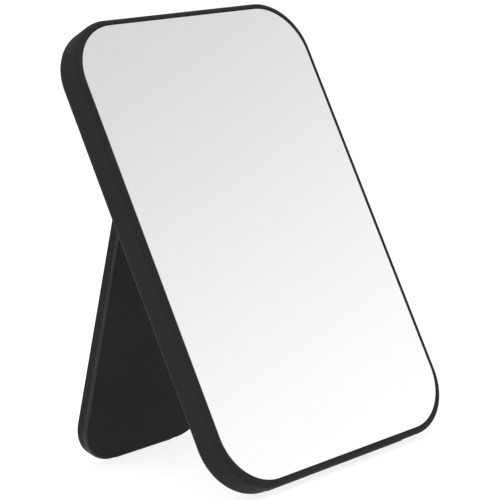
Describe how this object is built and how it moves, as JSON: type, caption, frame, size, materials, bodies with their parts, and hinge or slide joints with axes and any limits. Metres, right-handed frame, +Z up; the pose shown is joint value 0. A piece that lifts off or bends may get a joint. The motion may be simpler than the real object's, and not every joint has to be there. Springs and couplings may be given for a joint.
{
  "type": "countertop mirror",
  "caption": "Rectangular table mirror with rounded corners in a thin-lipped frame, leaning on a leg hinged behind it that folds flat.",
  "frame": {"origin": "on the table, under the centre of the open mirror's box", "axes": "+Z up, +X to the right of a person facing the glass, the glass faces -Y and leans back"},
  "size_m": [0.14, 0.1404, 0.2023],
  "materials": {
    "frame_plastic": "satin moulded, fine texture",
    "cover_plastic": "fine-grained matt",
    "panel_plastic": "fine-grained matt",
    "mirror_silver": "silvered float glass",
    "foam_tape": "closed-cell foam",
    "steel": "zinc plated",
    "foot_rubber": "matt"
  },
  "bodies": {
    "mirror": {"front_frame": "frame_plastic", "back_cover": "cover_plastic", "mirror_glass": "mirror_silver", "glass_tape_bottom": "foam_tape", "glass_tape_top": "foam_tape", "glass_tape_left": "foam_tape", "glass_tape_right": "foam_tape", "hinge_pin": "steel", "friction_washer_left": "steel", "friction_washer_right": "steel", "frame_foot_strip": "foot_rubber", "cover_screw_1": "steel", "cover_screw_2": "steel", "cover_screw_3": "steel", "cover_screw_4": "steel", "cover_screw_5": "steel", "cover_screw_6": "steel"},
    "stand": {"stand_shell": "frame_plastic", "stand_panel": "panel_plastic", "stand_foot_strip": "foot_rubber"}
  },
  "joints": [
    {"name": "stand_hinge", "type": "hinge", "parent": "mirror", "child": "stand", "pos_m": [0, 0.00131, 0.15929], "axis": [-1, 0, 0], "range_deg": [0, 41.45]}
  ]
}
